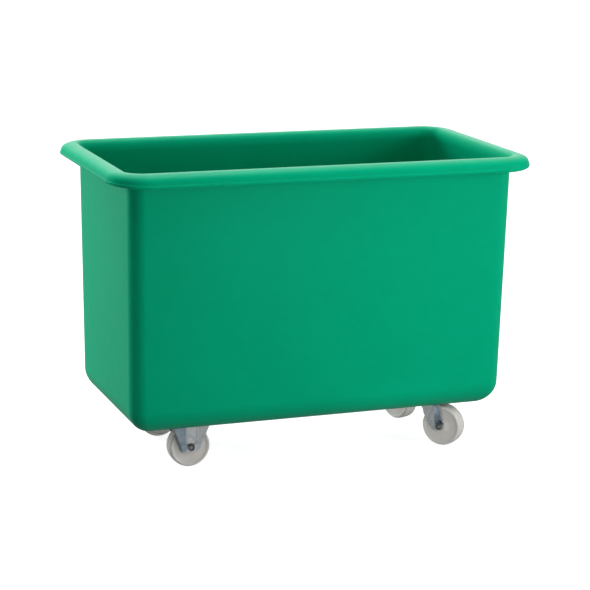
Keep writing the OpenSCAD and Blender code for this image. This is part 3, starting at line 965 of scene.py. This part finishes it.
fm = Mat("floor_pale")
g = fm.noise(3.0, 3.0, 0.5)
fm.set(Base_Color=fm.ramp(g, [(0.3, (0.36, 0.36, 0.36)), (0.7, (0.38, 0.38, 0.38))]), Roughness=0.7)
fm.set(Specular_IOR_Level=0.1, Emission_Color=(1.0, 1.0, 1.0), Emission_Strength=0.86)
me = bpy.data.meshes.new("floor")
me.from_pydata([(-20, -20, 0), (20, -20, 0), (20, 20, 0), (-20, 20, 0)], [], [(0, 1, 2, 3)])
me.materials.append(fm.m)
floor = bpy.data.objects.new("floor", me)
scene.collection.objects.link(floor)
floor.visible_diffuse = False
floor.visible_glossy = False
floor.visible_shadow = False



def toward(azimuth, elevation):
    """A direction on the azimuth that the lights use: 0 is in front, positive to the right."""
    a, e = math.radians(azimuth), math.radians(elevation)
    return Vector((math.sin(a) * math.cos(e), -math.cos(a) * math.cos(e), math.sin(e)))


class World:
    """The studio around the truck: an even white for the background, and soft glows that light the object."""

    def __init__(self):
        world = bpy.data.worlds.new("studio")
        scene.world = world
        world.use_nodes = True
        self.t = world.node_tree
        self.t.nodes.clear()
        out, self.both, path = (self.t.nodes.new(k) for k in ("ShaderNodeOutputWorld", "ShaderNodeMixShader", "ShaderNodeLightPath"))
        self.fill, seen = (self.t.nodes.new("ShaderNodeBackground") for _ in range(2))
        for bg in (self.fill, seen):
            bg.inputs[0].default_value = (1, 1, 1, 1)
        seen.inputs[1].default_value = 1.0
        self.t.links.new(path.outputs["Is Camera Ray"], self.both.inputs[0])
        self.t.links.new(seen.outputs[0], self.both.inputs[2])
        self.t.links.new(self.both.outputs[0], out.inputs[0])
        self.shades = [self.fill.outputs[0]]
        self.way = self.t.nodes.new("ShaderNodeTexCoord").outputs["Generated"]
        self.total = None

    def math(self, op, *values):
        n = self.t.nodes.new("ShaderNodeMath")
        n.operation = op
        for v, s in zip(values, n.inputs):
            if isinstance(v, (int, float)):
                s.default_value = v
            else:
                self.t.links.new(v, s)
        return n.outputs[0]

    def glow(self, direction, power, strength, colour=None):
        """A soft lobe of light around a direction."""
        n = self.t.nodes.new("ShaderNodeVectorMath")
        n.operation = "DOT_PRODUCT"
        self.t.links.new(self.way, n.inputs[0])
        n.inputs[1].default_value = direction
        lobe = self.math("MULTIPLY", self.math("POWER", self.math("MAXIMUM", n.outputs["Value"], 0.0), power), strength)
        if colour:
            bg = self.t.nodes.new("ShaderNodeBackground")
            bg.inputs[0].default_value = (*colour, 1)
            self.t.links.new(lobe, bg.inputs[1])
            self.shades.append(bg.outputs[0])
            return self
        self.total = lobe if self.total is None else self.math("ADD", self.total, lobe)
        return self

    def bounce(self, strength):
        """The pale studio floor's even light from below."""
        n = self.t.nodes.new("ShaderNodeSeparateXYZ")
        self.t.links.new(self.way, n.inputs[0])
        below = self.t.nodes.new("ShaderNodeMapRange")
        for k, v in (("From Min", 0.03), ("From Max", -0.03), ("To Min", 0.0), ("To Max", strength)):
            below.inputs[k].default_value = v
        self.t.links.new(n.outputs[2], below.inputs["Value"])
        self.total = below.outputs[0] if self.total is None else self.math("ADD", self.total, below.outputs[0])
        return self

    def done(self):
        self.t.links.new(self.total, self.fill.inputs[1])
        whole = self.shades[0]
        for one in self.shades[1:]:
            n = self.t.nodes.new("ShaderNodeAddShader")
            self.t.links.new(whole, n.inputs[0])
            self.t.links.new(one, n.inputs[1])
            whole = n.outputs[0]
        self.t.links.new(whole, self.both.inputs[1])


studio = World()
studio.bounce(0.25)
studio.glow(toward(5, -35), 3, 0.09)
studio.glow(toward(30, -14), 14, 0.26)
studio.glow(toward(-21, -13), 110, 1.0)
studio.glow(toward(-85, -18), 9, 0.12)
studio.glow(toward(160, 17), 9, 2.1)
studio.glow(toward(172, 65), 8, 1.8)
studio.glow(toward(0, 90), 6, 2.55)
studio.done()


def softbox(name, azimuth, elevation, distance, size_x, size_y, power, at=(0, 0, 0.4), colour=(1, 1, 1)):
    """An area light on the azimuth that the camera uses: 0 is in front, positive to the right."""
    d = toward(azimuth, elevation)
    data = bpy.data.lights.new(name, "AREA")
    data.shape, data.size, data.size_y = "RECTANGLE", size_x, size_y
    data.energy, data.color = power, colour
    ob = bpy.data.objects.new(name, data)
    ob.location = Vector(at) + d * distance
    ob.rotation_mode = "QUATERNION"
    ob.rotation_quaternion = d.to_track_quat("Z", "Y")
    ob.visible_camera = False
    scene.collection.objects.link(ob)
    return ob


softbox("front", 8, 6, 1.5, 0.7, 0.8, 7.9).visible_glossy = False
softbox("key_right", 50, 12, 2.4, 1.0, 1.0, 30.4).visible_glossy = False
softbox("side_left", -125, 12, 2.6, 1.2, 1.2, 14.0).visible_glossy = False
softbox("back_left", -135, 12, 3.2, 1.4, 1.4, 104.0).visible_glossy = False
softbox("top_back", 180, 88, 2.4, 1.2, 0.5, 16.0)
softbox("rim_sheen", 172, 74, 2.7, 3.0, 1.8, 34.0).visible_diffuse = False

# a narrow fill on the near swivel castor
data = bpy.data.lights.new("castor_fill", "SPOT")
data.energy, data.spot_size, data.spot_blend, data.shadow_soft_size = 21.0, math.radians(13), 1.0, 0.12
ob = bpy.data.objects.new("castor_fill", data)
ob.location = (-0.35, -0.78, 0.03)
ob.rotation_mode = "QUATERNION"
ob.rotation_quaternion = (ob.location - Vector((0.30, -0.13, 0.045))).to_track_quat("Z", "Y")
ob.visible_glossy = False
scene.collection.objects.link(ob)

scene.view_settings.view_transform = "Standard"
